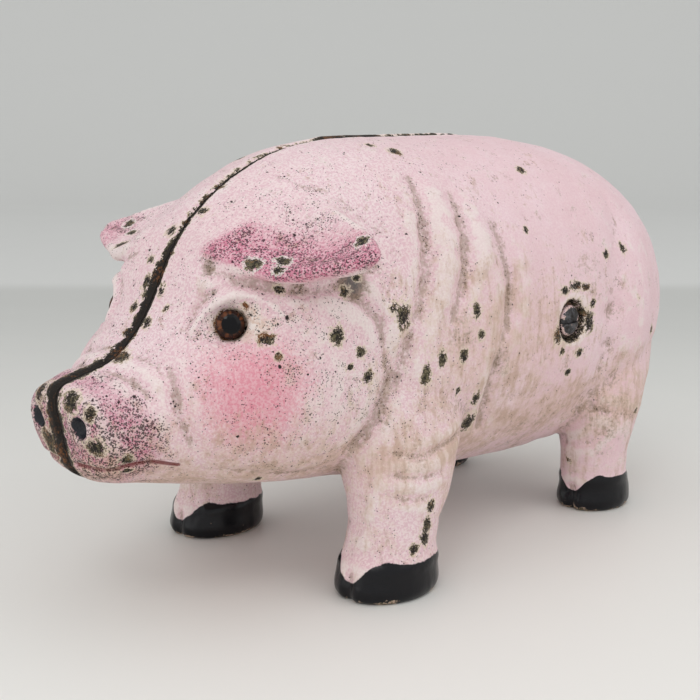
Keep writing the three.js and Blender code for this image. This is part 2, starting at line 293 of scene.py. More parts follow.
# Creases and ridges: points on the skin, how deep the line is cut (negative stands proud), its
# width, and the swelling of the skin beside it, on its right-hand side and on its left.
CREASES = {
    "neck fold behind the ear": (
        [(-25, 32, 134), (-33, 48, 108), (-43, 51, 86), (-51, 49, 65)], 2.0, 3.0, 1.3, 0.6),
    "second neck fold": (
        [(-12, 38, 128), (-16, 50, 108), (-21, 53, 98), (-28, 54, 86)], 1.6, 2.7, 1.2, 0.5),
    "shoulder fold": ([(1, 46, 119), (3, 54, 98), (0, 55, 84), (-2, 55, 74)], 1.6, 3.6, 0.8, 1.3),
    "elbow": ([(-2, 55, 76), (-4, 54, 66), (-3, 50, 56), (0, 43, 44)], 1.8, 2.8, 0.2, 1.2),
    "arc behind the eye": (
        [(-76, 43, 103), (-64, 47, 99), (-56, 49, 91), (-55, 49, 82)], 1.7, 2.2, 0.7, 0.8),
    "jowl": ([(-55, 49, 82), (-52, 50, 72), (-57, 47, 58), (-66, 42, 48)], 1.2, 2.6, 0.4, 0.6),
    "back of the skull": (
        [(-70, 11, 136), (-65, 24, 132), (-58, 34, 127), (-48, 42, 116)], 0.9, 2.6, 0.5, 0.3),
    "under the ear": (
        [(-99, 16, 110), (-96, 30, 105), (-82, 42, 102), (-64, 44, 104), (-51, 45, 108)], 1.3, 2.0, 0.6, 0),
    "notch at the ear": ([(-103, 14, 114), (-99, 18, 109), (-96, 24, 105)], 2.0, 1.9, 0.6, 1.0),
    "cheek to jaw": ([(-112, 28, 47), (-98, 32, 44), (-84, 36, 41), (-66, 38, 42)], 0.7, 2.4, 0.3, 0.4),
    "front of the cheek": (
        [(-116, 20, 84), (-117, 25, 74), (-117, 28, 64), (-112, 28, 54)], 1.2, 2.4, 0.7, 0.6),
    "ham": ([(81, 43, 121), (70, 54, 98), (64, 57, 74), (64, 52, 52), (45, 39, 35)], 1.9, 7.0, 1.6, 0.0),
    "ham fold": ([(62, 48, 46), (70, 48, 41), (84, 50, 38)], 0.9, 2.2, 0.3, 0.3),
    "hock": ([(67, 33, 26), (65, 48, 29), (72, 53, 37)], 0.7, 1.7, 0.3, 0.3),
    "upper knee wrinkle": (
        [(-56, 50, 49), (-45, 57, 47), (-30, 57, 49), (-16, 52, 50)], 0.9, 1.4, 0.4, 0.4),
    "knee wrinkle": ([(-57, 51, 42), (-46, 58, 40), (-34, 58, 40)], 0.7, 1.3, 0.3, 0.3),
    "lower knee wrinkle": ([(-57, 51, 35), (-47, 58, 33), (-36, 58, 33)], 0.5, 1.3, 0.2, 0.2),
    "shin": ([(-58, 53, 45), (-62, 51, 32), (-65, 47, 17)], -1.1, 3.4, 0, 0),
    "upper lid": (
        [(-109, 22, 89), (-104, 23, 96), (-97, 30, 101), (-91, 36, 99), (-88, 40, 94)], -1.8, 1.5, 0, 0),
    "lid fold": ([(-110, 20, 92), (-104, 21, 99.5), (-96, 30, 105), (-89, 37, 102)], 1.4, 1.2, 0, 0),
    "lower lid": ([(-107, 24, 86), (-102, 29, 84.5), (-96, 35, 85), (-91, 39, 88)], -1.3, 1.4, 0, 0),
    "bag under the eye": ([(-108, 25, 82), (-101, 32, 80), (-93, 38, 82)], 0.8, 1.5, 0, 0),
    "mouth": ([(-141, 1, 52.5), (-138, 12, 52), (-129, 21, 54), (-116, 24, 51.5)], 0.8, 0.8, 0.2, 0.2),
    "snout wrinkle": ([(-128, 3, 81), (-125, 14, 77), (-122, 22, 70)], 0.8, 1.8, 0.5, 0.4),
    "second snout wrinkle": ([(-119, 5, 84), (-117, 17, 80), (-115, 24, 72)], 0.6, 1.8, 0.4, 0.4),
}
DEEPEST_CREASE = 2.8  # so that no crease cuts through the wall
EAR_ROOT = [(-98, 12, 116), (-90, 17, 123), (-78, 21, 130), (-62, 25, 132), (-55, 35, 124)]  # along the skull
EAR_ROOT_REACH = 11  # how far from that line the ear is melted into the skull
EAR_ROOT_PASSES = 110
EAR_RIM = [(-99, 15, 113), (-96, 31, 108), (-91, 43, 107), (-84, 60, 111)]  # its lower edge
NOSTRIL_RIM = {"radius": 4.3, "height": 0.5, "width": 1.3}
SEAM_GROOVE = {"depth": 1.0, "width": 1.25}
PROUD = {"x": (-30, 34), "height": 0.7}  # where the right half stands above the left on the back

HOOVES = ({"x": -47, "y": 44, "top": 12.5}, {"x": 78.6, "y": 41.5, "top": 13.5})
CLEFT = {"depth": 1.5, "width": 1.7, "dip": 6.0}


def crease(half, points, depth, width, right, left):
    path = half.path(points)
    near, across, along = half.along(path, reach=4 * width + 3)
    uneven = 1 + 0.45 * value_noise(half.points[near], 7, 8) + 0.25 * value_noise(half.points[near], 2.5, 9)
    push = np.maximum(-depth * bell(across, width) * uneven, -DEEPEST_CREASE)
    push += right * bell(across - 2.4 * width, 1.6 * width)
    push += left * bell(across + 2.4 * width, 1.6 * width)
    half.points[near] += half.normals[near] * (push * tapered(along))[:, None]


def blend_ear_root(half):
    """Melts the ear's upper edge into the skull."""
    near, across, _ = half.along(half.path(EAR_ROOT), reach=16)
    soft = np.zeros(len(half.points))
    soft[near] = bell(across, EAR_ROOT_REACH)
    for _ in range(EAR_ROOT_PASSES):
        half.points += (0.8 * soft)[:, None] * (half.average(half.points) - half.points)
    half.write()
    half.find_normals()


def pinch_seam(half):
    """Opens the parting line into a rough groove, and lifts the right half's edge on the back."""
    x, y, z = half.points.T
    rough = 1 + 0.45 * value_noise(half.points, 4, 3) + 0.35 * value_noise(half.points, 1.6, 4)
    push = -SEAM_GROOVE["depth"] * bell(y, SEAM_GROOVE["width"]) * rough
    push *= half.outside * (np.abs(half.normals[:, 1]) < 0.8)
    half.points += half.normals * push[:, None]
    if half.side == RIGHT:
        front, rear = PROUD["x"]
        on_back = between(x, front - 12, front, rear, rear + 12) * (z > 120)
        half.points[:, 2] += PROUD["height"] * on_back * half.outside * bell(y, 9)


def cut_clefts(half):
    """The cleft at the front of each hoof, and a slight step where the hoof meets the leg."""
    x, y, z = half.points.T
    for hoof in HOOVES:
        near = (np.hypot(x - hoof["x"], y - hoof["y"]) < 26) & (z < 26)
        front = near & (x < hoof["x"] - 3)
        groove = bell(y - hoof["y"], CLEFT["width"]) * (1 - smooth_step(z, 7, 13))
        half.points[:, 0] += CLEFT["depth"] * groove * front
        step = 0.45 * bell(z - hoof["top"] + 1.5, 1.6)
        away = np.stack([x - hoof["x"], y - hoof["y"], np.zeros_like(x)], 1)
        away /= np.maximum(np.linalg.norm(away, axis=1), 1e-6)[:, None]
        half.points += away * (step * near)[:, None]


def ring_nostril(half):
    away = half.distance(NOSTRIL) - NOSTRIL_RIM["radius"]
    push = NOSTRIL_RIM["height"] * bell(away, NOSTRIL_RIM["width"])
    half.points += half.normals * (push * half.outside)[:, None]


def cast_surface(half):
    """The low waves of a sand casting, with a shallow pit here and there."""
    waves = 0.22 * value_noise(half.points, 11, 1) + 0.08 * value_noise(half.points, 3.2, 2)
    waves -= 0.25 * smooth_step(value_noise(half.points, 4.5, 12), 0.45, 0.8)
    inside = 0.3 * value_noise(half.points, 5, 5) + 0.2 * value_noise(half.points, 2.4, 6)
    push = waves * half.outside + inside * (1 - half.outside)
    push *= smooth_step(half.points[:, 1], 0.4, 2.5) * smooth_step(half.points[:, 2], 0.3, 3)
    half.points += half.normals * push[:, None]


# ---------------------------------------------------------------- chips, blush and other marks

# Chips on each half: a place on the skin, the chip's radius and how much taller it is than wide.
LEFT_CHIPS = {
    "ear": [(-93, 33, 110, 2.0, 1), (-87, 39, 111, 2.0, 1), (-90, 41, 108, 1.4, 1), (-73, 58, 117, 1.9, 1)],
    "under the ear": [(-88, 39, 103, 1.6, 0.7), (-67, 46, 101, 1.7, 0.8), (-62, 46, 105, 1.3, 0.7)],
    "round the eye": [(-95, 40, 89, 2.0, 0.7), (-96, 32, 98, 0.9, 1), (-93, 43, 84, 1.0, 1)],
    "cheek": [(-73, 47, 88, 2.2, 1), (-64, 49, 82, 1.4, 1), (-69, 49, 78, 1.5, 0.6), (-61, 48, 74, 1.7, 1)],
    "jaw": [(-89, 28, 43, 1.3, 1), (-131, 20, 51, 1.3, 0.5)],
    "snout": [
        (-141, 8, 73, 2.2, 1.5), (-139, 15, 70, 1.4, 1.4),
        (-139, 16, 60, 2.4, 0.9), (-132, 21, 56, 1.6, 0.7)],
    "brow": [
        (-121, 4, 83, 2.6, 0.6), (-112, 4, 92, 1.3, 1.4), (-106, 4, 101, 1.3, 1.2), (-109, 9, 97, 0.9, 1)],
    "crown": [
        (-88, 4, 123, 1.6, 1), (-80, 5, 128, 1.8, 0.8), (-74, 9, 131, 1.5, 0.8), (-68, 4, 134, 1.3, 1)],
    "neck": [
        (-46, 50, 91, 2.6, 1.3), (-50, 49, 94, 1.4, 1.3), (-39, 53, 72, 1.6, 1.9), (-32, 54, 76, 1.5, 1.4)],
    "shoulder": [(-22, 55, 76, 1.5, 1.3), (-16, 54, 90, 1.6, 1.5), (-14, 55, 82, 1.1, 1.4)],
    "upper leg": [(-10, 48, 50, 2.5, 1.5), (-12, 52, 60, 1.6, 1.6), (-23, 53, 64, 0.9, 2)],
    "shin": [
        (-42, 59, 30, 1.4, 1.6), (-43, 58, 24, 1.5, 1.3), (-44, 58, 20, 1.7, 1.4), (-49, 58, 17, 1.4, 1)],
    "back": [(-20, 22, 141, 1.9, 1), (-26, 16, 144, 1.2, 1), (33, 35, 134, 1.6, 1), (17, 49, 114, 1.2, 1)],
    "round the screw": [
        (33, 56, 92, 2.3, 0.5), (40, 56, 93, 2.9, 0.5), (46, 57, 92, 2.2, 0.5),
        (48, 57, 79, 2.2, 1.5), (44, 56, 68, 1.9, 0.7)],
    "below the screw": [
        (39, 55, 61, 1.4, 0.8), (29, 56, 76, 1.6, 1.6), (50, 56, 86, 1.3, 1), (33, 56, 70, 1.2, 1)],
    "rump": [
        (76, 52, 104, 1.5, 1.4), (62, 55, 103, 1.7, 0.8), (80, 56, 84, 1.0, 1.5), (97, 52, 70, 1.3, 1)],
    "rear leg": [(88, 53, 27, 1.3, 1.5), (84, 53, 40, 1.2, 1), (64, 40, 20, 1.1, 1)],
}
RIGHT_CHIPS = {
    "ear": [
        (-88, 42, 111, 2.1, 1), (-76, 55, 117, 1.8, 1), (-82, 48, 118, 1.6, 0.6), (-86, 38, 120, 1.4, 0.6)],
    "head": [(-98, 38, 84, 1.5, 1), (-80, 46, 80, 1.7, 0.8), (-66, 48, 90, 1.5, 1.3)],
    "brow": [
        (-105, 5, 103, 1.5, 1.6), (-110, 6, 96, 1.3, 1.2), (-101, 7, 109, 1.1, 1), (-94, 4, 117, 1.6, 1)],
    "snout": [
        (-141, 9, 74, 2.2, 1.6), (-138, 19, 66, 1.6, 1), (-133, 21, 52, 1.5, 0.7), (-141, 7, 58, 2.6, 1.3)],
    "shoulder": [
        (-40, 52, 84, 2.1, 1.4), (-20, 54, 72, 1.6, 1.3), (-8, 54, 100, 1.4, 1), (-30, 50, 112, 1.3, 1)],
    "flank": [(26, 56, 66, 2.0, 0.8), (52, 56, 96, 1.8, 1.2), (10, 52, 48, 1.5, 1), (60, 52, 112, 1.3, 1)],
    "back": [(-60, 14, 141, 1.7, 1), (22, 30, 138, 1.9, 0.8), (84, 20, 138, 1.6, 1)],
    "rump": [(96, 52, 86, 2.2, 1.2), (118, 38, 96, 1.8, 1), (104, 46, 58, 1.7, 1.3), (132, 22, 74, 1.5, 1)],
    "legs": [(-56, 56, 26, 1.7, 1.3), (-40, 58, 44, 1.4, 1), (84, 54, 34, 1.6, 1.4), (72, 52, 20, 1.2, 1)],
}
CHIP_SPREAD = 1.25  # every chip's radius is multiplied by this before its edge is broken up

# Stained places, one of them painted shade on the rear leg: where, how far it reaches and how strong it is.
STAINS_AND_SHADE = [
    (-98, 19, 108, 3.4, 1.1), (-64, 45, 103, 6.0, 1.8), (50, 56, 98, 17, 0.45), (-107, 21, 87, 4.0, 0.9),
    (-3, 55, 70, 6, 0.95), (-24, 54, 84, 8, 0.6), (-12, 47, 52, 8, 0.6), (-58, 46, 60, 8, 0.5),
    (-46, 57, 46, 8, 0.5), (39, 55, 66, 8, 0.5), (64, 56, 82, 9, 0.5), (-84, 34, 44, 12, 0.5),
    # The entry at (72, 46, 38) darkens the rear leg as painted shade.
    (30, 40, 36, 20, 0.4), (72, 46, 38, 20, 0.45),
]
BLUSH = {"at": (-101, 40.5, 73.3), "reach": 18}
JOWL = {"at": (-76, 45, 78), "reach": 26}  # the pale cheek behind the blush
SNOUT_END = -121  # the deeper pink of the snout ends about here
BARE_SEAM = 1.4  # how far the bare iron reaches from the parting line
HEAD_POCKET = 7.6  # radius of the screw's pocket in the left flank
NUT_POCKET = 5.9  # half the width of the nut's pocket in the right one
SCREW_X, SCREW_Z = 38, 80.5


def chip_field(half, chips):
    """1 in the middle of a chip, 0 at its edge and below 0 outside."""
    field = np.full(len(half.points), -2.0)
    for group in chips.values():
        for x, y, z, radius, tall in group:
            at = half.on_skin((x, y, z))
            gap = (half.points - at) / (CHIP_SPREAD * radius * np.array([1, 1, tall]))
            field = np.maximum(field, 1 - np.linalg.norm(gap, axis=1))
    return field


def ear_field(half):
    """1 on the ear, falling off at its root."""
    x, y, z = half.points.T
    lower = np.interp(y, [10, 25, 37, 47, 60, 68], [112, 108, 104.5, 105, 108, 111])
    upper = np.interp(y, [10, 25, 37, 47, 60, 68], [133, 131, 128, 124, 121, 119])
    ahead = np.interp(z, [105, 114, 124, 132], [-93, -101, -82, -64])
    behind = np.interp(y, [10, 40, 68], [-54, -60, -68])
    field = between(z, lower - 1, lower + 2, upper - 3, upper + 4)
    return field * between(x, ahead - 3, ahead + 3, behind - 6, behind + 1) * smooth_step(y, 8, 22)


def rim_field(half, ear):
    """1 along the ear's lower edge and tip, fading up the ear."""
    near, across, _ = half.along(half.path(EAR_RIM), reach=40)
    gap = np.full(len(half.points), 40.0)
    gap[near] = np.abs(across)
    tip = smooth_step(half.points[:, 1], 44, 60)
    fade = np.maximum(1 - smooth_step(gap, 1, 34), 0.7 * tip)
    if half.side == RIGHT:
        fade *= 0.62 * smooth_step(half.points[:, 1], 38, 56)
    return fade * ear


def hoof_field(half):
    """How far below the painted hoof's upper edge a point is, in millimetres."""
    x, y, z = half.points.T
    field = np.full(len(x), -9.0)
    for hoof in HOOVES:
        near = np.hypot(x - hoof["x"], y - hoof["y"]) < 27
        turn = np.arctan2(y - hoof["y"], hoof["x"] - x)
        edge = hoof["top"] - CLEFT["dip"] * bell(turn, 0.38) + 1.2 * bell(np.abs(turn) - 0.75, 0.4)
        edge += 0.7 * value_noise(half.points, 3, 7)
        field = np.where(near, np.maximum(field, edge - z), field)
    return field


def seam_field(half):
    """How far a point is beyond the bare strip along the parting line, in millimetres."""
    x, y, z = half.points.T
    width = np.full(len(x), BARE_SEAM)
    brow = between(x, -134, -128, -104, -96) * (z > 70)
    muzzle = 1 - smooth_step(x, -134, -128)
    spine = smooth_step(x, -62, -40) * (z > 70)
    front, rear = PROUD["x"]
    proud = between(x, front - 8, front, rear, rear + 8)
    extra = (2.2, 3.2, 2.0 * proud - 0.3) if half.side == RIGHT else (0.3, 1.2, -0.6)
    for place, more in zip((brow, muzzle, spine), extra):
        width += place * more
    return y - SEAM_FACE - width


def pocket_field(half):
    """How far outside the screw's or the nut's pocket a point is, in millimetres."""
    x, y, z = half.points.T
    across, up = np.abs(x - SCREW_X), np.abs(z - SCREW_Z)
    if half.side == LEFT:
        gap = np.hypot(across, up) - HEAD_POCKET
    else:
        gap = np.maximum(across, up) - NUT_POCKET
    return np.where(y > 40, gap, 30)


def eye_fields(half):
    """Distance from the eye's middle, and closeness to the pale lens-shaped patch round it."""
    away = half.points - np.array(EYE)
    gap = np.linalg.norm(away, axis=1)
    look = np.array(EYE_LOOK) / np.linalg.norm(EYE_LOOK)
    back = np.cross(look, [0, 0, 1.0])
    back /= np.linalg.norm(back) * (1 if back[0] > 0 else -1)
    rise = np.cross(back, look)
    u, w = away @ back, away @ rise
    lens = np.hypot((u - 2.5) / 11, w / 6.5)
    return gap, bell(lens, 0.95)


def stain_and_shade_field(half):
    field = np.zeros(len(half.points))
    for x, y, z, reach, strength in STAINS_AND_SHADE:
        if half.side == RIGHT and x < -60:
            continue
        gap = half.distance(half.on_skin((x, y, z)))
        field = np.maximum(field, strength * bell(gap, reach))
    return field


def groove_field(half):
    """1 along the bottom of the deeper creases, where the paint puts dirt and painted shade."""
    field = np.zeros(len(half.points))
    for points, depth, width, _, _ in CREASES.values():
        if depth < 0.65 or width > 4:
            continue
        near, across, along = half.along(half.path(points), 2.5 * width)
        line = min(1.0, depth / 1.3) * bell(across, 0.42 * width) * tapered(along)
        field[near] = np.maximum(field[near], line)
    return field


MARKS = (
    "outside", "open", "hollow", "groove", "ear", "blush", "snout", "speckle", "low", "mouth", "eye_gap",
    "lens", "nostril", "hoof", "sole", "seam", "pocket", "stain", "jowl", "chip")


def mark_casting(half, chips):
    """Writes what the paint needs to know about each place on the skin."""
    x, _, z = half.points.T
    curve = ((half.average(half.points) - half.points) * half.normals).sum(1)
    hollow = half.blur(curve, 2)
    wide = half.blur(half.average(curve), 14)
    ear = ear_field(half)
    rim = rim_field(half, ear)
    blush = bell(half.distance(BLUSH["at"]), BLUSH["reach"])
    snout = 1 - smooth_step(x + 0.25 * (z - 62), SNOUT_END - 12, SNOUT_END + 6)
    snout_low = snout * bell(z - 60, 13)
    head = 1 - smooth_step(x, -70, -30)
    front = (1 - smooth_step(x, -20, 30)) * smooth_step(z, 46, 56)
    jowl = bell(half.distance(JOWL["at"]), JOWL["reach"])
    groove = groove_field(half)
    eye_gap, lens = eye_fields(half)
    speckle = 0.012 + 0.025 * front + 0.03 * head + 0.1 * jowl + 0.1 * groove + 0.22 * lens
    speckle = np.maximum(speckle, np.maximum(0.3 * snout + 0.75 * snout_low, 0.16 * ear + 0.5 * rim**1.5))
    mouth = np.zeros(len(x))
    near, across, along = half.along(half.path(CREASES["mouth"][0]), 4)
    mouth[near] = bell(across, 1.3) * smooth_step(along, 0.02, 0.12)
    low = (1 - smooth_step(z, 34, 84)) * (0.35 + 0.65 * smooth_step(z, 26, 50))
    handled = bell(x + 5, 55) * bell(z - 76, 36) * smooth_step(z, 26, 50)
    marks = {
        "outside": half.outside,
        "open": half.open,
        "hollow": np.clip(hollow * 9 + wide * 14, -1, 1),
        "groove": groove,
        "ear": rim,
        "blush": blush * half.outside,
        "snout": np.maximum(0.62 * snout, 1.1 * snout_low),
        "speckle": speckle,
        "low": np.maximum(low, 0.75 * handled),
        "mouth": mouth,
        "eye_gap": np.minimum(eye_gap, 20),
        "lens": lens,
        "nostril": NOSTRIL_RADIUS - half.distance(NOSTRIL),
        "hoof": hoof_field(half),
        "sole": 1 - smooth_step(z, 0.3, 3.5),
        "seam": seam_field(half),
        "pocket": np.clip(pocket_field(half), -3, 9),
        "stain": stain_and_shade_field(half),
        "jowl": jowl,
        "chip": chip_field(half, chips),
    }
    for name in MARKS:
        add_attribute(half.mesh, name, marks[name])


# ---------------------------------------------------------------- building a casting

def thin_inside(half):
    """Takes most of the faces off the bare inner skin, where no fine detail is needed."""
    holder = add_object("holder", half.mesh)
    group = holder.vertex_groups.new(name="inner")
    inner = np.flatnonzero((half.outside < 0.02) & (half.points[:, 1] > 3))
    group.add([int(i) for i in inner], 1.0, "REPLACE")
    share = len(inner) / len(half.points)
    thin = holder.modifiers.new("thin", "DECIMATE")
    thin.vertex_group = "inner"
    thin.ratio = 1 - 0.8 * share
    old = half.mesh
    half.mesh = evaluated_mesh(holder)
    bpy.data.meshes.remove(old)
    half.read()


def refine(half, wanted):
    """Splits the faces whose centre passes a test, so that fine lines can be cut there."""
    work = bmesh.new()
    work.from_mesh(half.mesh)
    work.faces.ensure_lookup_table()
    centres = np.array([face.calc_center_median() for face in work.faces]) / MM
    centres[:, 1] *= half.side
    chosen = np.flatnonzero(wanted(centres))
    edges = {edge for i in chosen for edge in work.faces[i].edges}
    edges = sorted(edges, key=lambda edge: edge.index)
    bmesh.ops.subdivide_edges(work, edges=edges, cuts=1, use_grid_fill=True)
    work.to_mesh(half.mesh)
    work.free()
    half.read()


def near_details(points):
    x, y, z = points.T
    eye = np.linalg.norm(points - np.array(EYE), axis=1) < 15
    nostril = np.linalg.norm(points - np.array(NOSTRIL), axis=1) < 7
    mouth = (x < -112) & (z > 49) & (z < 57)
    seam = y < 2.2
    return eye | nostril | mouth | seam


def soft_places(half):
    """How far smoothing may move a vertex: further where legs and ears grow out of the body."""
    x, y, z = half.points.T
    legs = between(z, 26, 36, 62, 76)
    legs *= np.maximum(bell(x + 36, 34), bell(x - 84, 36)) * (y > 12)
    return 0.55 + 1.6 * legs


def casting(node, name, side, chips, both):
    """One fine half: remeshed, smoothed, sculpted and marked for its paint."""
    tree = cad_tree(side, node)
    half = Casting(voxel_mesh(node, name), side, tree)
    openness = face_openness(node, both)
    half.label(openness)
    thin_inside(half)
    half.label(openness)
    half.relax(FACET_PASSES, soft_places(half))
    refine(half, near_details)
    half.label(openness)
    half.relax(3, 0.3)
    for line in CREASES.values():
        crease(half, *line)
    half.write()
    half.find_normals()
    blend_ear_root(half)
    ring_nostril(half)
    cut_clefts(half)
    pinch_seam(half)
    cast_surface(half)
    half.write()
    half.relax(1, 0.2)
    mark_casting(half, chips)
    shade_smooth(half.mesh)
    return add_object(name, half.mesh)


# ---------------------------------------------------------------- materials

class Value:
    """A number in a material, so that its formulas can be written with +, - and *."""

    def __init__(self, shader, socket):
        self.shader, self.socket = shader, socket

    def __add__(self, other):
        return self.shader.math("ADD", self, other)

    def __mul__(self, other):
        return self.shader.math("MULTIPLY", self, other)

    def __sub__(self, other):
        return self.shader.math("SUBTRACT", self, other)

    def __rsub__(self, other):
        return self.shader.math("SUBTRACT", other, self)

    __radd__, __rmul__ = __add__, __mul__


class Shader:
    """A material and the few kinds of node that its formulas are made of."""

    def __init__(self, name):
        self.material = bpy.data.materials.new(name)
        self.material.use_nodes = True
        self.tree = self.material.node_tree
        self.surface = self.tree.nodes["Principled BSDF"]
        in_millimetres = self.node("VectorMath", "SCALE")
        self.put(in_millimetres.inputs[0], self.node("TexCoord").outputs["Object"])
        in_millimetres.inputs["Scale"].default_value = 1 / MM
        self.position = in_millimetres.outputs[0]

    def node(self, kind, operation=None):
        node = self.tree.nodes.new("ShaderNode" + kind)
        if operation:
            node.operation = operation
        return node

    def put(self, socket, value):
        if isinstance(value, Value):
            value = value.socket
        if isinstance(value, bpy.types.NodeSocket):
            self.tree.links.new(value, socket)
        elif isinstance(value, tuple) and len(value) == 3 and socket.type == "RGBA":
            socket.default_value = (*value, 1)
        else:
            socket.default_value = value

    def math(self, operation, *values):
        node = self.node("Math", operation)
        for socket, value in zip(node.inputs, values):
            self.put(socket, value)
        return Value(self, node.outputs[0])

    def most(self, first, *others):
        for other in others:
            first = self.math("MAXIMUM", first, other)
        return first

    def blend(self, amount, first, second):
        """A number that goes from the first to the second."""
        return first * (1.0 - amount) + second * amount

    def step(self, value, low, high):
        """0 below low, 1 above high and smooth between."""
        node = self.node("MapRange")
        node.interpolation_type = "SMOOTHSTEP"
        for socket, given in zip(node.inputs, (value, low, high, 0.0, 1.0)):
            self.put(socket, given)
        return Value(self, node.outputs[0])

    def mix(self, amount, first, second):
        """A colour that goes from the first to the second."""
        node = self.node("Mix")
        node.data_type = "RGBA"
        self.put(node.inputs[0], amount)
        self.put(node.inputs[6], first)
        self.put(node.inputs[7], second)
        return node.outputs[2]

    def attribute(self, name):
        node = self.node("Attribute")
        node.attribute_name = name
        return Value(self, node.outputs["Fac"])

    def place(self, axis):
        """The place along one axis, in millimetres."""
        node = self.node("SeparateXYZ")
        self.put(node.inputs[0], self.position)
        return Value(self, node.outputs[axis])

    def noise(self, size, detail=2.0, roughness=0.55, stretch=(1, 1, 1)):
        """Noise with features about `size` millimetres across, from about -0.5 to 0.5."""
        squeeze = self.node("VectorMath", "MULTIPLY")
        self.put(squeeze.inputs[0], self.position)
        squeeze.inputs[1].default_value = stretch
        node = self.node("TexNoise")
        self.put(node.inputs["Vector"], squeeze.outputs[0])
        node.inputs["Scale"].default_value = 1 / size
        node.inputs["Detail"].default_value = detail
        node.inputs["Roughness"].default_value = roughness
        return Value(self, node.outputs[0]) - 0.5

    def dots(self, size, radius, density, wobble):
        """Round specks in a share of the cells of a lattice, with ragged edges."""
        node = self.node("TexVoronoi")
        self.put(node.inputs["Vector"], self.position)
        node.inputs["Scale"].default_value = 1 / size
        split = self.node("SeparateColor")
        self.put(split.inputs[0], node.outputs["Color"])
        chosen = self.math("LESS_THAN", split.outputs[0], density)
        reach = (Value(self, split.outputs[1]) + 0.45) * radius
        edge = reach - (Value(self, node.outputs["Distance"]) + wobble)
        return self.step(edge, 0.0, 0.12) * chosen

    def bump(self, height):
        """A bump from a height in millimetres."""
        node = self.node("Bump")
        node.inputs["Distance"].default_value = MM
        self.put(node.inputs["Height"], height)
        self.put(self.surface.inputs["Normal"], node.outputs[0])

    def finish(self, colour, roughness, metallic=0.0):
        self.put(self.surface.inputs["Base Color"], colour)
        self.put(self.surface.inputs["Roughness"], roughness)
        self.put(self.surface.inputs["Metallic"], metallic)
        return self.material


def srgb(red, green, blue):
    """An 8-bit screen colour as linear light."""
    def linear(value):
        value /= 255
        return value / 12.92 if value <= 0.04045 else ((value + 0.055) / 1.055) ** 2.4
    return (linear(red), linear(green), linear(blue))


PINK = srgb(233, 200, 209)
PALE_PINK = srgb(238, 214, 219)
WARM_PINK = srgb(228, 193, 196)
STIPPLE_PINK = srgb(214, 178, 186)
DEEP_PINK = srgb(208, 120, 146)
MAGENTA = srgb(176, 76, 112)
BLUSH_PINK = srgb(218, 126, 144)
SNOUT_PINK = srgb(190, 116, 138)
CHALK = srgb(236, 229, 222)
CREAM = srgb(220, 204, 182)
BEIGE = srgb(209, 181, 160)
HAND_DIRT = srgb(174, 142, 120)
GREY_DIRT_AND_SHADE = srgb(154, 134, 118)
BROWN_DIRT_AND_SHADE = srgb(108, 88, 68)
SOOT = srgb(84, 82, 84)
IRON = srgb(38, 33, 30)
OLIVE_IRON = srgb(106, 98, 74)
RUST = srgb(124, 80, 48)
PRIMER = srgb(74, 32, 52)
HOOF_BLACK = srgb(10, 10, 15)
NOSTRIL_BLACK = srgb(40, 42, 48)
MOUTH_RED = srgb(112, 40, 42)


def pink_coat(s, at, n):
    """The paint's own colour, dabbed on: also how deep its pink is, and how much it blushes."""
    pink = s.mix(s.step(n.broad + n.patch * 0.6, -0.16, 0.2), WARM_PINK, PALE_PINK)
    pink = s.mix(0.5, pink, PINK)
    ahead = s.step(s.place("X"), 30.0, -50.0)
    reach = (1.0 - ahead) * 0.16 + 0.1
    dab = s.step(n.dabs + n.fine * 0.3, reach * -1.0, reach)
    bare_of_dabs = 1.0 - dab
    pink = s.mix(bare_of_dabs * (ahead * 0.2 + 0.35), pink, STIPPLE_PINK)
    pink = s.mix(dab * (ahead * 0.22 + 0.2), pink, CHALK)
    blush = s.step(at.blush + n.patch * 0.5 + n.ragged + n.grain * 0.9, 0.08, 1.0)
    pink = s.mix(blush * 0.8, pink, BLUSH_PINK)
    snout = s.step(at.snout + n.patch * 0.6 + n.fine * 0.6, 0.1, 0.95)
    pink = s.mix(snout * 0.85, pink, SNOUT_PINK)
    ear = s.step(at.ear + n.patch * 0.5 + n.ragged * 0.6, 0.12, 0.95)
    pink = s.mix(ear * 0.8, pink, DEEP_PINK)
    deep = s.most(ear, snout)
    pink = s.mix(dab * deep * 0.42, pink, PALE_PINK)
    pink = s.mix(bare_of_dabs * deep * 0.35, pink, MAGENTA)
    pink = s.mix(dab * blush * 0.3, pink, PALE_PINK)
    return pink, deep, blush


def rub(s, at, n, pink):
    """Rubbed ridges, and the chalky patch round the eye."""
    rubbed = at.hollow * -0.9 + n.blotch * 1.3 + at.jowl * 0.3 - 0.2
    rubbed = rubbed + n.ragged * 0.7 - at.ear - at.blush * 0.5
    rubbed = s.step(rubbed, 0.0, 0.4)
    pink = s.mix(rubbed * 0.5, pink, CHALK)
    chalk = s.step(at.lens + n.blotch + n.ragged * 0.8, 0.3, 0.7)
    chalk_tone = s.mix(s.step(n.fine + n.ragged, -0.2, 0.2), BEIGE, CHALK)
    return s.mix(chalk * 0.8, pink, chalk_tone), rubbed


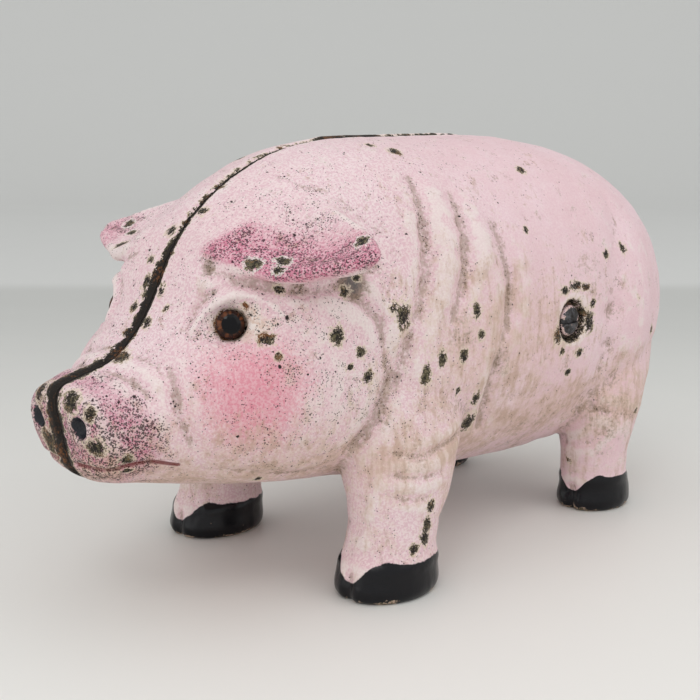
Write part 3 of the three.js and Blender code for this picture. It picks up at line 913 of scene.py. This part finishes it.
def soil(s, at, n, pink):
    """Dirt low down and where hands have held it; dirt and painted shade in hollows and shut-in places."""
    soot = at.low * 0.8 + n.patch * 1.1 + n.fine + n.ragged * 0.6 + n.brushed * 0.5
    soot = s.step(soot, 0.1, 0.9)
    streak = n.brushed * 2.0 + n.patch * 1.4 + n.ragged * 0.7 + at.low * 0.5
    # Dirt and painted shade: the paint darkens hollows and the bottoms of creases.
    shade = at.hollow * 0.7 + at.groove * 0.75 + n.blotch * 1.6 + n.ragged * 1.9 + n.brushed * 1.1
    # Stains darken the paint; on the rear leg this darkening is painted shade.
    stain = at.stain * 1.1 + n.blotch * 1.4 + n.ragged * 1.6 + n.dabs
    worn = n.patch * 0.8 + n.fine + at.jowl * 0.12 - at.blush * 0.5
    pink = s.mix(soot * 0.7, pink, BEIGE)
    for value, low, high, strength, tint in (
        (streak, 0.2, 0.8, 0.4, HAND_DIRT),
        (shade, 0.16, 0.9, 0.6, GREY_DIRT_AND_SHADE),
        (shade + n.patch * 1.2, 0.95, 1.4, 0.7, BROWN_DIRT_AND_SHADE),
        # Painted shade: a grey darkening where the skin sees little of the sky.
        (at.open + n.fine * 0.4, 0.75, 0.1, 0.12, GREY_DIRT_AND_SHADE),
        (stain, 0.35, 1.0, 0.6, GREY_DIRT_AND_SHADE),
        (stain, 0.85, 1.25, 0.6, BROWN_DIRT_AND_SHADE),
        (stain, 1.25, 1.9, 0.8, SOOT),
        (worn, 0.22, 0.42, 0.35, CREAM),
    ):
        pink = s.mix(s.step(value, low, high) * strength, pink, tint)
    return pink, soot


def speckle(s, at, n, deep, blush):
    """Pin-pricks in clumps, dense on the ears and snout, and their colour."""
    clump = s.step(n.blotch * 1.2 + n.patch * 1.2, -0.2, 0.35)
    clump = s.blend(deep, clump * 1.7 + 0.15, clump * 0.7 + 0.6)
    specks = (at.speckle + at.hollow * 0.05 + blush * 0.03) * clump
    crowd = s.math("MINIMUM", specks * 2.6, 0.78)
    tiny = s.dots(0.5, s.step(specks, 0.1, 0.7) * 0.26 + 0.36, crowd, n.grain * 0.9)
    small = s.dots(0.95, 0.34, specks * 0.3, n.grain * 0.5)
    large = s.dots(2.6, 0.22, specks * 0.5, n.ragged * 0.5)
    tint = s.mix(deep * s.step(at.speckle + n.fine * 0.4, 0.75, 0.35), IRON, PRIMER)
    return s.most(tiny * 0.85, small, large), tint


def blacken(s, at, n, colour):
    """The hooves' black, scuffed at the sole."""
    hoof = s.step(at.hoof + n.ragged * 0.9, -0.15, 0.25)
    scuff = s.step(n.patch + n.fine * 1.1 + n.ragged * 0.7 + at.sole * 0.42, 0.38, 0.5)
    scuffed = s.mix(s.step(n.ragged, -0.05, 0.1), OLIVE_IRON, BEIGE)
    return s.mix(hoof, colour, s.mix(scuff * 0.8, HOOF_BLACK, scuffed)), hoof, scuff


def bare_iron(s, at, n, pit):
    """How far inside bare iron a place is: chips, the parting line, the eyes, the screw, the inside."""
    torn = n.ragged * 2.3 + n.fine * 1.6
    chip = at.chip + torn
    seam = at.seam * -0.6 + n.fine * 4.0 + n.ragged * 3.2 + n.blotch * 2.8
    eye = at.eye_gap * -0.9 + torn + 4.3
    pocket = at.pocket * -0.6 + torn + n.blotch * 1.6 + 0.3
    stray = at.speckle * 0.25 + at.stain * 0.3 + n.blotch * 1.5 - 1.28
    stray = stray + n.fine * 1.3 + n.ragged * 1.5 - pit
    inner = at.outside * -3.0 + n.ragged * 0.5 + 1.5
    return s.most(chip, seam, eye, pocket, stray, inner)


def iron_colour(s, at, n, depth, skin):
    """Dark iron, olive and rusty in places, with flakes of paint left near its edges."""
    olive = s.step(n.fine + n.ragged, -0.06, 0.26) * s.step(at.seam, -2.2, 1.2)
    metal = s.mix(olive, IRON, OLIVE_IRON)
    metal = s.mix(s.step(n.patch + n.ragged + at.lens * 0.6, 0.06, 0.34), metal, RUST)
    flake = s.step(n.ragged + n.grain * 0.9, 0.1, 0.15) * s.step(depth, 1.1, 0.25) * skin
    return s.mix(flake * 0.75, metal, CREAM)


def chip_rim(s, at, n, colour, depth, bare, skin):
    """The pale or rusty edge of the paint round bare iron."""
    rim = s.step(depth, -0.5, -0.1) * (1.0 - bare) * skin * s.step(n.blotch + n.ragged, -0.3, 0.0)
    pale = s.mix(s.step(at.ear + n.fine * 0.8, 0.1, 0.4), CREAM, CHALK)
    rusty = s.step(n.patch + n.fine * 0.8 + at.lens * 0.3, 0.12, 0.3)
    return s.mix(rim * 0.8, colour, s.mix(rusty, pale, RUST))


def painted_iron(name):
    """Old pink paint over iron: speckled, dirty in its hollows and chipped to the metal."""
    s = Shader(name)
    at = SimpleNamespace(**{key: s.attribute(key) for key in MARKS})
    n = SimpleNamespace(
        broad=s.noise(34, 3), patch=s.noise(11, 3), blotch=s.noise(5.5, 3, 0.6), fine=s.noise(2.6, 3, 0.65),
        ragged=s.noise(1.1, 3, 0.7), dabs=s.noise(0.75, 1.5, 0.7), grain=s.noise(0.45, 2, 0.6),
        brushed=s.noise(2.2, 3, 0.6, stretch=(1, 1, 0.16)))
    skin = s.step(at.outside, 0.5, 0.9)
    pit = s.step(at.nostril + n.ragged * 1.4, 0.0, 0.35)
    pink, deep, blush = pink_coat(s, at, n)
    pink, rubbed = rub(s, at, n, pink)
    pink, soot = soil(s, at, n, pink)
    speck, tint = speckle(s, at, n, deep, blush)
    pink = s.mix(speck * skin, pink, tint)
    pink = s.mix(s.step(at.mouth, 0.5, 0.82) * 0.85, pink, MOUTH_RED)
    colour, hoof, scuff = blacken(s, at, n, pink)
    depth = bare_iron(s, at, n, pit)
    bare = s.step(depth, 0.0, 0.1)
    colour = chip_rim(s, at, n, colour, depth, bare, skin)
    metal = iron_colour(s, at, n, depth, skin)
    colour = s.mix(s.most(bare, pit), colour, s.mix(pit, metal, NOSTRIL_BLACK))
    roughness = n.fine * 0.25 + soot * 0.12 + speck * 0.2 + rubbed * 0.08 + 0.46
    roughness = s.blend(hoof, roughness, n.fine * 0.2 + scuff * 0.4 + 0.22)
    roughness = s.blend(bare, roughness, 0.62)
    roughness = s.blend(pit, roughness, 0.16)
    s.surface.inputs["Specular IOR Level"].default_value = 0.28
    raised = n.fine * 0.08 + n.ragged * 0.05 + n.patch * 0.12 + n.brushed * 0.05 + hoof * 0.08
    s.bump(raised + bare * n.ragged * 0.25 - bare * 0.16 - speck * 0.06)
    return s.finish(colour, roughness, bare * 0.35)


def worn_steel(name, tone, rust_amount, painted=False):
    """Dark old steel with rust in patches, brighter worn spots and perhaps old paint round a head."""
    s = Shader(name)
    patch, fine, grain = s.noise(3.5, 3), s.noise(0.9, 3, 0.65), s.noise(0.25, 2)
    metal = s.mix(s.step(fine + patch, -0.3, 0.35), IRON, tone)
    rust = s.step(patch + fine * 0.8 + rust_amount, 0.1, 0.35)
    colour = s.mix(rust * 0.75, metal, RUST)
    s.bump(fine * 0.08 + grain * 0.04 + rust * 0.05)
    roughness = rust * 0.35 + grain * 0.2 + 0.42
    metallic = 0.85 - rust * 0.6
    if painted:
        left = s.step(s.attribute("paint_left") + fine * 2.6 + patch * 1.8, 0.75, 0.9)
        colour = s.mix(left, colour, s.mix(s.step(fine, -0.2, 0.3), PINK, BEIGE))
        metallic = metallic * (1.0 - left)
    return s.finish(colour, roughness, metallic)


AMBER = srgb(108, 62, 36)
DARK_AMBER = srgb(34, 18, 14)
PUPIL_BLACK = srgb(6, 6, 9)
PUPIL = 0.66  # of the eye's radius


def amber_glass(name):
    """A glass eye: black pupil, amber ring with streaks and a grimy edge, under a clear gloss."""
    s = Shader(name)
    radial, streak = s.attribute("radial"), s.attribute("streak")
    fine, grime = s.noise(0.5, 3), s.noise(1.6, 3, 0.65)
    ring = s.mix(s.step(streak + fine, -0.5, 0.5), DARK_AMBER, AMBER)
    iris = s.step(radial + fine * 0.05, PUPIL - 0.03, PUPIL + 0.03)
    colour = s.mix(iris, PUPIL_BLACK, ring)
    edge = s.step(radial + grime * 0.5, 0.84, 0.96)
    colour = s.mix(edge, colour, DARK_AMBER)
    colour = s.mix(s.step(s.attribute("depth"), -0.2, -0.5), colour, BROWN_DIRT_AND_SHADE)
    s.surface.inputs["Coat Weight"].default_value = 0.3
    s.surface.inputs["Coat Roughness"].default_value = 0.04
    s.surface.inputs["Specular IOR Level"].default_value = 0.05
    s.bump(grime * 0.015 + edge * 0.03)
    return s.finish(colour, edge * 0.4 + grime * 0.15 + 0.16)


# ---------------------------------------------------------------- eyes and fasteners

SCREW_AXIS = (SCREW_X, 0, SCREW_Z)
PITCH = 1.27  # of the screw's thread
THREAD_FROM = -16  # the thread runs from here, measured outward on the left, to the tip
SCREW_TIP = -56
SLOT = {"half": 0.8, "floor": 54.9}
NUT = {"low": 49.9, "high": 54.9, "half": 5.5, "corner": 7.2, "chamfer": 6.3}


def tube_faces(rings, sides, closed=False):
    """Quads between rings of points that follow each other, the last ring joined to the first if closed."""
    faces = []
    for i in range(rings if closed else rings - 1):
        a, b = i * sides, (i + 1) % rings * sides
        faces += [(a + k, a + (k + 1) % sides, b + (k + 1) % sides, b + k) for k in range(sides)]
    return faces


def turned(name, rows, sides, origin, axis, closed=False, reshape=None):
    """A turned piece from (radius, height) rows; reshape(radius, height, turn) changes the radii."""
    rows = np.array(rows, float)
    turn = np.arange(sides) / sides * 2 * math.pi
    radius = np.repeat(rows[:, :1], sides, 1)
    height = np.repeat(rows[:, 1:], sides, 1)
    if reshape:
        radius = reshape(radius, height, turn)
    local = np.stack([radius * np.cos(turn), radius * np.sin(turn), height], -1).reshape(-1, 3)
    to_axis = np.array(Vector(axis).to_track_quat("Z", "Y").to_matrix())
    points = local @ to_axis.T + np.array(origin)
    return mesh_piece(name, points, tube_faces(len(rows), sides, closed))


def mesh_piece(name, points, faces):
    """An object from points in millimetres, its doubled points joined and its faces turned outward."""
    mesh = bpy.data.meshes.new(name)
    mesh.from_pydata([Vector(p) * MM for p in points], [], faces)
    work = bmesh.new()
    work.from_mesh(mesh)
    bmesh.ops.remove_doubles(work, verts=work.verts[:], dist=1e-6)
    bmesh.ops.recalc_face_normals(work, faces=work.faces[:])
    work.to_mesh(mesh)
    work.free()
    return add_object(name, mesh)


def points_of(mesh):
    return column(mesh.vertices, "co") / MM


def assign(piece, material, body, node):
    """Gives a piece its material and body, and puts it in the place of its CAD node."""
    piece.data.materials.clear()
    piece.data.materials.append(material)
    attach(piece, body)
    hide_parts(node)


def dress(piece, material, body, node, wear=0.0, seed=1):
    """Wears a small piece's surface a little before it is assigned."""
    mesh = piece.data
    points = points_of(mesh)
    noise = value_noise(points, 1.9, seed) + 0.6 * value_noise(points, 0.8, seed + 1)
    points -= column(mesh.vertex_normals, "vector") * (wear * (1 + noise))[:, None]
    put_points(mesh, points)
    shade_smooth(mesh)
    mesh.set_sharp_from_angle(angle=math.radians(38))
    assign(piece, material, body, node)


def eye_frame(side):
    """Where one side's eye is, and the way it looks."""
    place = np.array([EYE[0], side * EYE[1], EYE[2]])
    return place, Vector((EYE_LOOK[0], side * EYE_LOOK[1], EYE_LOOK[2])).normalized()


def make_eye(name, side):
    """A domed glass button, its radius and iris streaks written at every vertex."""
    radius, dome = 4.4, 2.3
    rows = [(0, -1.4), (1.8, -1.4), (3.4, -1.38), (3.8, -1.2), (4.2, -0.7), (4.36, -0.35)]
    for k in range(27):
        angle = k / 26 * math.pi / 2
        rows.append((radius * math.cos(angle), dome * math.sin(angle)))
    origin, look = eye_frame(side)
    piece = turned(name, rows, 72, origin, look)
    away = points_of(piece.data) - origin
    depth = away @ np.array(look)
    across = away - depth[:, None] * np.array(look)
    length = np.linalg.norm(across, axis=1)
    streak = value_noise(across / np.maximum(length, 1e-6)[:, None] * 6, 1, 21)
    add_attribute(piece.data, "radial", length / radius)
    add_attribute(piece.data, "streak", streak)
    add_attribute(piece.data, "depth", depth)
    return piece


def make_wire(name, side):
    """The eye's wire: straight through the shell, then bent over, its end cut off square."""
    start, length, clinch, radius, sides = -1.7, 7.0, 5.0, 0.5, 14
    end = start - length
    line = [(0, start, 0), (0, start - 0.6 * length, 0), (0.6, end, 0), (clinch, end - 0.6, 0)]
    line = curve_points(line, 0.25)
    origin, look = eye_frame(side)
    turn = Vector((0, 1, 0)).rotation_difference(look)
    points = []
    for i, at in enumerate(line):
        ahead = line[min(i + 1, len(line) - 1)] - line[max(i - 1, 0)]
        ahead /= np.linalg.norm(ahead)
        beside = np.cross(ahead, [0, 0, 1])
        blunt = 0.82 if i in (0, len(line) - 1) else 1.0
        for k in range(sides):
            angle = k / sides * 2 * math.pi
            out = math.cos(angle) * beside + math.sin(angle) * np.array([0, 0, 1])
            local = Vector(at + radius * blunt * out)
            points.append(np.array(turn @ local) + origin)
    faces = tube_faces(len(line), sides)
    faces.append(tuple(range(sides)))
    faces.append(tuple(range((len(line) - 1) * sides, len(line) * sides)))
    return mesh_piece(name, points, faces)


def thread_wave(height, turn):
    """0 at the root of the thread and 1 on its crest."""
    phase = (height / PITCH - turn / (2 * math.pi)) % 1.0
    return np.clip(1.25 - 2.5 * np.abs(phase - 0.5), 0, 1)


def make_screw(name):
    """A long slotted screw with a domed head, threaded towards its tip."""
    head, top, base, shank = 5.6, 56.4, 53.4, 3.0
    rows = []
    for k in range(19):
        angle = k / 18 * math.pi / 2
        rows.append((head * math.sin(angle), 54.7 + (top - 54.7) * math.cos(angle)))
    rows += [(head, 54.2), (head, 53.7), (head - 0.25, base)]
    rows += [(4.2, base), (shank + 0.1, base), (shank, base - 0.3)]
    rows += [(shank, h) for h in np.arange(50, THREAD_FROM, -4)]
    rows += [(shank, h) for h in np.arange(THREAD_FROM, SCREW_TIP + 0.5, -PITCH / 8)]
    rows += [(2.3, SCREW_TIP), (0, SCREW_TIP)]

    def cut_thread(radius, height, turn):
        started = smooth_step(-height, -THREAD_FROM, 1.5 - THREAD_FROM)
        ending = smooth_step(height, SCREW_TIP, SCREW_TIP + 2.5)
        depth = 0.5 * started * (1 - thread_wave(height, turn)) + 0.55 * (1 - ending)
        return radius - np.where(height < THREAD_FROM, np.minimum(depth, radius), 0)

    piece = turned(name, rows, 32, SCREW_AXIS, (0, -1, 0), reshape=cut_thread)
    work = bmesh.new()
    work.from_mesh(piece.data)
    for edge in (-SLOT["half"] - 0.05, -SLOT["half"], SLOT["half"], SLOT["half"] + 0.05):
        crown = [face for face in work.faces if face.calc_center_median().y < -54 * MM]
        parts = set(crown) | {e for f in crown for e in f.edges} | {v for f in crown for v in f.verts}
        parts = sorted(parts, key=lambda part: part.index)
        level = Vector((0, 0, SCREW_Z + edge)) * MM
        bmesh.ops.bisect_plane(work, geom=parts, plane_co=level, plane_no=(0, 0, 1))
    for vertex in work.verts:
        in_slot = abs(vertex.co.z / MM - SCREW_Z) < SLOT["half"] + 0.02
        if in_slot and vertex.co.y < -SLOT["floor"] * MM:
            vertex.co.y = -SLOT["floor"] * MM
    work.to_mesh(piece.data)
    work.free()
    x, y, z = points_of(piece.data).T
    left = smooth_step(np.hypot(x - SCREW_X, z - SCREW_Z), 0.6 * head, 1.05 * head) * (y < -53.5)
    add_attribute(piece.data, "paint_left", left)
    return piece


def make_washer(name):
    low, high, inner, outer = 51.9, 53.1, 3.45, 6.9
    rows = [(inner, low + 0.15), (inner + 0.15, low)]
    rows += [(r, low) for r in (4.4, 5.3, 6.2)]
    rows += [(outer - 0.2, low), (outer, low + 0.25), (outer, high - 0.3), (outer - 0.25, high)]
    rows += [(r, high) for r in (6.2, 5.3, 4.4)]
    rows += [(inner + 0.2, high), (inner, high - 0.2)]
    return turned(name, rows, 56, SCREW_AXIS, (0, -1, 0), closed=True)


def make_nut(name):
    """A square nut, its outer corners turned down, with a thread in its bore."""
    low, high = NUT["low"], NUT["high"]
    rows = [(3.35, h) for h in np.arange(low, high, PITCH / 8)]
    rows += [(r, high) for r in (3.7, 4.5, 5.2, NUT["chamfer"] - 0.6)]
    rows += [(NUT["chamfer"], high - 0.15), (9, high - 0.9), (9, high - 2.2)]
    rows += [(9, low + 0.9), (9, low + 0.2), (8.9, low), (5.2, low), (4.2, low)]

    def square(radius, height, turn):
        flat = NUT["half"] / np.maximum(np.abs(np.cos(turn)), np.abs(np.sin(turn)))
        outer = np.minimum(radius, np.minimum(flat, NUT["corner"]))
        return np.where(radius < 3.5, radius + 0.3 * (1 - thread_wave(height, turn)), outer)

    return turned(name, rows, 64, SCREW_AXIS, (0, 1, 0), closed=True, reshape=square)


# ---------------------------------------------------------------- light, floor and camera

CAMERA = {"azimuth": -45.4, "elevation": 10.84, "distance": 434, "target": (-19.5, 0, 70.1), "lens": 61.7}
DAYLIGHT = 0.8  # strength of the even light from all round
LIGHTS_AIM = 60  # height of the place that the lights point at
# Each light's azimuth and elevation in degrees, distance and size in metres, and watts.
LIGHTS = (
    ("overhead", 10, 80, 1.3, 1.4, 2.0),
    ("window", 20, 38, 1.5, 1.0, 1.9),
    ("left window", -100, 12, 1.5, 0.9, 1.8),
    ("glint", -60, 50, 1.5, 0.35, 1.6),
)
FLOOR = {"half": 4.5, "bend": 1.7, "radius": 0.9, "top": 2.6}  # in metres
TABLE_END = 655  # from the middle of the bank to where the table's tone gives way
TABLE_NEAR = srgb(238, 237, 233)
TABLE_FAR = srgb(197, 198, 195)
GROUND_GREY = srgb(214, 215, 213)


def direction(azimuth, elevation):
    a, e = math.radians(azimuth), math.radians(elevation)
    return Vector((math.sin(a) * math.cos(e), -math.cos(a) * math.cos(e), math.sin(e)))


def aim(thing, toward):
    thing.rotation_mode = "QUATERNION"
    thing.rotation_quaternion = (toward - thing.location).to_track_quat("-Z", "Y")


def add_camera():
    lens = bpy.data.cameras.new("camera")
    lens.lens = CAMERA["lens"]
    lens.clip_start = 0.01
    camera = add_object("camera", lens)
    target = Vector(CAMERA["target"]) * MM
    back = direction(CAMERA["azimuth"], CAMERA["elevation"])
    camera.location = target + back * CAMERA["distance"] * MM
    aim(camera, target)
    bpy.context.scene.camera = camera


def area_light(name, azimuth, elevation, distance, size, watts):
    lamp = bpy.data.lights.new(name, "AREA")
    lamp.shape = "SQUARE"
    lamp.size = size
    lamp.energy = watts
    light = add_object(name, lamp)
    light.location = direction(azimuth, elevation) * distance
    aim(light, Vector((0, 0, LIGHTS_AIM)) * MM)


def add_lights():
    world = bpy.data.worlds.new("studio")
    world.use_nodes = True
    background = world.node_tree.nodes["Background"]
    background.inputs["Color"].default_value = (1, 1, 1, 1)
    background.inputs["Strength"].default_value = DAYLIGHT
    bpy.context.scene.world = world
    for light in LIGHTS:
        area_light(*light)


def add_floor():
    """A pale table top that runs on into a greyer ground, in one smooth sheet with a raised back."""
    work = bmesh.new()
    half, bend, radius = FLOOR["half"], FLOOR["bend"], FLOOR["radius"]
    rows = [(-half, 0.0), (TABLE_END * MM, 0.0), (bend, 0.0)]
    for k in range(1, 13):
        turn = k / 12 * math.pi / 2
        rows.append((bend + radius * math.sin(turn), radius * (1 - math.cos(turn))))
    rows.append((bend + radius, FLOOR["top"]))
    strips = [[work.verts.new((x, y, z)) for x in (-half, half)] for y, z in rows]
    for near, far in zip(strips, strips[1:]):
        work.faces.new((near[0], near[1], far[1], far[0]))
    mesh = bpy.data.meshes.new("floor")
    work.to_mesh(mesh)
    work.free()
    shade_smooth(mesh)
    floor = add_object("floor", mesh)
    floor.rotation_euler = (0, 0, math.radians(CAMERA["azimuth"]))
    s = Shader("pale_ground")
    away = s.place("Y")
    beyond = s.step(away, TABLE_END - 25.0, TABLE_END + 45.0)
    cloud = s.noise(90, 2)
    # Painted shade: the table top darkens from its front towards the back.
    back = s.step(away + cloud * 60, -260.0, TABLE_END - 60.0)
    table = s.mix(back, TABLE_NEAR, TABLE_FAR)
    colour = s.mix(beyond, table, GROUND_GREY)
    mesh.materials.append(s.finish(colour, cloud * 0.1 + 0.5))


# ---------------------------------------------------------------- putting it together

add_camera()
add_lights()
add_floor()
bpy.context.scene.view_settings.view_transform = "Standard"

BOTH = cad_tree(RIGHT, "left_half", "right_half")
paint = painted_iron("worn_pink_paint")
HALVES = (("left_half", LEFT, LEFT_CHIPS, "left_side"), ("right_half", RIGHT, RIGHT_CHIPS, "right_side"))
for node, side, chips, body in HALVES:
    piece = casting(node, node + "_casting", side, chips, BOTH)
    assign(piece, paint, body, node)

glass = amber_glass("amber_glass")
wire = worn_steel("eye_wire_steel", srgb(128, 122, 112), 0.12)
for node, side, body in (("left_eye", LEFT, "left_side"), ("right_eye", RIGHT, "right_side")):
    dress(make_eye(node + "_glass", side), glass, body, node)
    dress(make_wire(node + "_shank", side), wire, body, node + "_wire", wear=0.02, seed=31)

head_steel = worn_steel("screw_steel", srgb(104, 104, 108), -0.05, painted=True)
washer_steel = worn_steel("washer_steel", srgb(112, 106, 96), 0.14)
nut_iron = worn_steel("nut_iron", srgb(92, 84, 74), 0.1)
screw = make_screw("clamp_screw_turned")
washer = make_washer("screw_washer_pressed")
nut = make_nut("clamp_nut_square")
dress(screw, head_steel, "screw", "clamp_screw", wear=0.02, seed=41)
dress(washer, washer_steel, "washer", "screw_washer", wear=0.03, seed=51)
dress(nut, nut_iron, "right_side", "clamp_nut", wear=0.03, seed=61)
